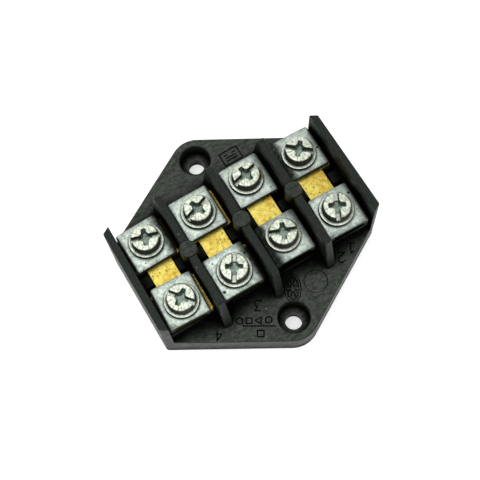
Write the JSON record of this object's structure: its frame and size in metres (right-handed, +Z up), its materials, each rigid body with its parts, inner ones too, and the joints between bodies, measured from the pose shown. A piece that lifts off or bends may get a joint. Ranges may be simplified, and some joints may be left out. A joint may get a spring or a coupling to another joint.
{
  "type": "barrier terminal strip",
  "caption": "Screw terminal strip: a dark moulded hexagonal base with upright barriers, brass bus bars, and a saddle clamp, washer and screw at each end of every bar.",
  "frame": {"origin": "centre of the base's underside", "axes": "+X along the row of poles, +Y from screw row b towards screw row a, +Z up out of the base towards the screw heads"},
  "size_m": [0.0622, 0.0622, 0.0203],
  "materials": {
    "phenolic": "matt moulded thermoset",
    "brass": "bare rolled brass, lightly tarnished",
    "zinc_clamp": "zinc plated pressed steel",
    "zinc_washer": "zinc plated steel",
    "zinc_screw": "zinc plated steel, slightly yellowed"
  },
  "bodies": {
    "moulding": {"base": "phenolic", "bus_bar_1": "brass", "bus_bar_2": "brass", "bus_bar_3": "brass", "bus_bar_4": "brass"},
    "clamp_1a": {"clamp_plate_1a": "zinc_clamp", "washer_1a": "zinc_washer"},
    "screw_1a": {"screw_1a": "zinc_screw"},
    "clamp_1b": {"clamp_plate_1b": "zinc_clamp", "washer_1b": "zinc_washer"},
    "screw_1b": {"screw_1b": "zinc_screw"},
    "clamp_2a": {"clamp_plate_2a": "zinc_clamp", "washer_2a": "zinc_washer"},
    "screw_2a": {"screw_2a": "zinc_screw"},
    "clamp_2b": {"clamp_plate_2b": "zinc_clamp", "washer_2b": "zinc_washer"},
    "screw_2b": {"screw_2b": "zinc_screw"},
    "clamp_3a": {"clamp_plate_3a": "zinc_clamp", "washer_3a": "zinc_washer"},
    "screw_3a": {"screw_3a": "zinc_screw"},
    "clamp_3b": {"clamp_plate_3b": "zinc_clamp", "washer_3b": "zinc_washer"},
    "screw_3b": {"screw_3b": "zinc_screw"},
    "clamp_4a": {"clamp_plate_4a": "zinc_clamp", "washer_4a": "zinc_washer"},
    "screw_4a": {"screw_4a": "zinc_screw"},
    "clamp_4b": {"clamp_plate_4b": "zinc_clamp", "washer_4b": "zinc_washer"},
    "screw_4b": {"screw_4b": "zinc_screw"}
  },
  "joints": [
    {"name": "clamp_1a_lift", "type": "slide", "parent": "moulding", "child": "clamp_1a", "axis": [0, 0, 1], "range_m": [0, 0.0028]},
    {"name": "screw_1a_turn", "type": "hinge", "parent": "clamp_1a", "child": "screw_1a", "pos_m": [-0.0225, 0.0089, 0.0157], "axis": [0, 0, 1], "range_deg": [0, 1440]},
    {"name": "clamp_1b_lift", "type": "slide", "parent": "moulding", "child": "clamp_1b", "axis": [0, 0, 1], "range_m": [0, 0.0028]},
    {"name": "screw_1b_turn", "type": "hinge", "parent": "clamp_1b", "child": "screw_1b", "pos_m": [-0.0225, -0.0091, 0.0157], "axis": [0, 0, 1], "range_deg": [0, 1440]},
    {"name": "clamp_2a_lift", "type": "slide", "parent": "moulding", "child": "clamp_2a", "axis": [0, 0, 1], "range_m": [0, 0.0028]},
    {"name": "screw_2a_turn", "type": "hinge", "parent": "clamp_2a", "child": "screw_2a", "pos_m": [-0.0075, 0.0089, 0.0157], "axis": [0, 0, 1], "range_deg": [0, 1440]},
    {"name": "clamp_2b_lift", "type": "slide", "parent": "moulding", "child": "clamp_2b", "axis": [0, 0, 1], "range_m": [0, 0.0028]},
    {"name": "screw_2b_turn", "type": "hinge", "parent": "clamp_2b", "child": "screw_2b", "pos_m": [-0.0075, -0.0091, 0.0157], "axis": [0, 0, 1], "range_deg": [0, 1440]},
    {"name": "clamp_3a_lift", "type": "slide", "parent": "moulding", "child": "clamp_3a", "axis": [0, 0, 1], "range_m": [0, 0.0028]},
    {"name": "screw_3a_turn", "type": "hinge", "parent": "clamp_3a", "child": "screw_3a", "pos_m": [0.0075, 0.01055, 0.0157], "axis": [0, 0, 1], "range_deg": [0, 1440]},
    {"name": "clamp_3b_lift", "type": "slide", "parent": "moulding", "child": "clamp_3b", "axis": [0, 0, 1], "range_m": [0, 0.0028]},
    {"name": "screw_3b_turn", "type": "hinge", "parent": "clamp_3b", "child": "screw_3b", "pos_m": [0.0075, -0.00745, 0.0157], "axis": [0, 0, 1], "range_deg": [0, 1440]},
    {"name": "clamp_4a_lift", "type": "slide", "parent": "moulding", "child": "clamp_4a", "axis": [0, 0, 1], "range_m": [0, 0.0028]},
    {"name": "screw_4a_turn", "type": "hinge", "parent": "clamp_4a", "child": "screw_4a", "pos_m": [0.0225, 0.00945, 0.0157], "axis": [0, 0, 1], "range_deg": [0, 1440]},
    {"name": "clamp_4b_lift", "type": "slide", "parent": "moulding", "child": "clamp_4b", "axis": [0, 0, 1], "range_m": [0, 0.0028]},
    {"name": "screw_4b_turn", "type": "hinge", "parent": "clamp_4b", "child": "screw_4b", "pos_m": [0.0225, -0.00855, 0.0157], "axis": [0, 0, 1], "range_deg": [0, 1440]}
  ],
  "couplings": [
    {"joint": "screw_1a_turn", "follows": "clamp_1a_lift", "rad_per_m": 8975.9},
    {"joint": "screw_1b_turn", "follows": "clamp_1b_lift", "rad_per_m": 8975.9},
    {"joint": "screw_2a_turn", "follows": "clamp_2a_lift", "rad_per_m": 8975.9},
    {"joint": "screw_2b_turn", "follows": "clamp_2b_lift", "rad_per_m": 8975.9},
    {"joint": "screw_3a_turn", "follows": "clamp_3a_lift", "rad_per_m": 8975.9},
    {"joint": "screw_3b_turn", "follows": "clamp_3b_lift", "rad_per_m": 8975.9},
    {"joint": "screw_4a_turn", "follows": "clamp_4a_lift", "rad_per_m": 8975.9},
    {"joint": "screw_4b_turn", "follows": "clamp_4b_lift", "rad_per_m": 8975.9}
  ]
}
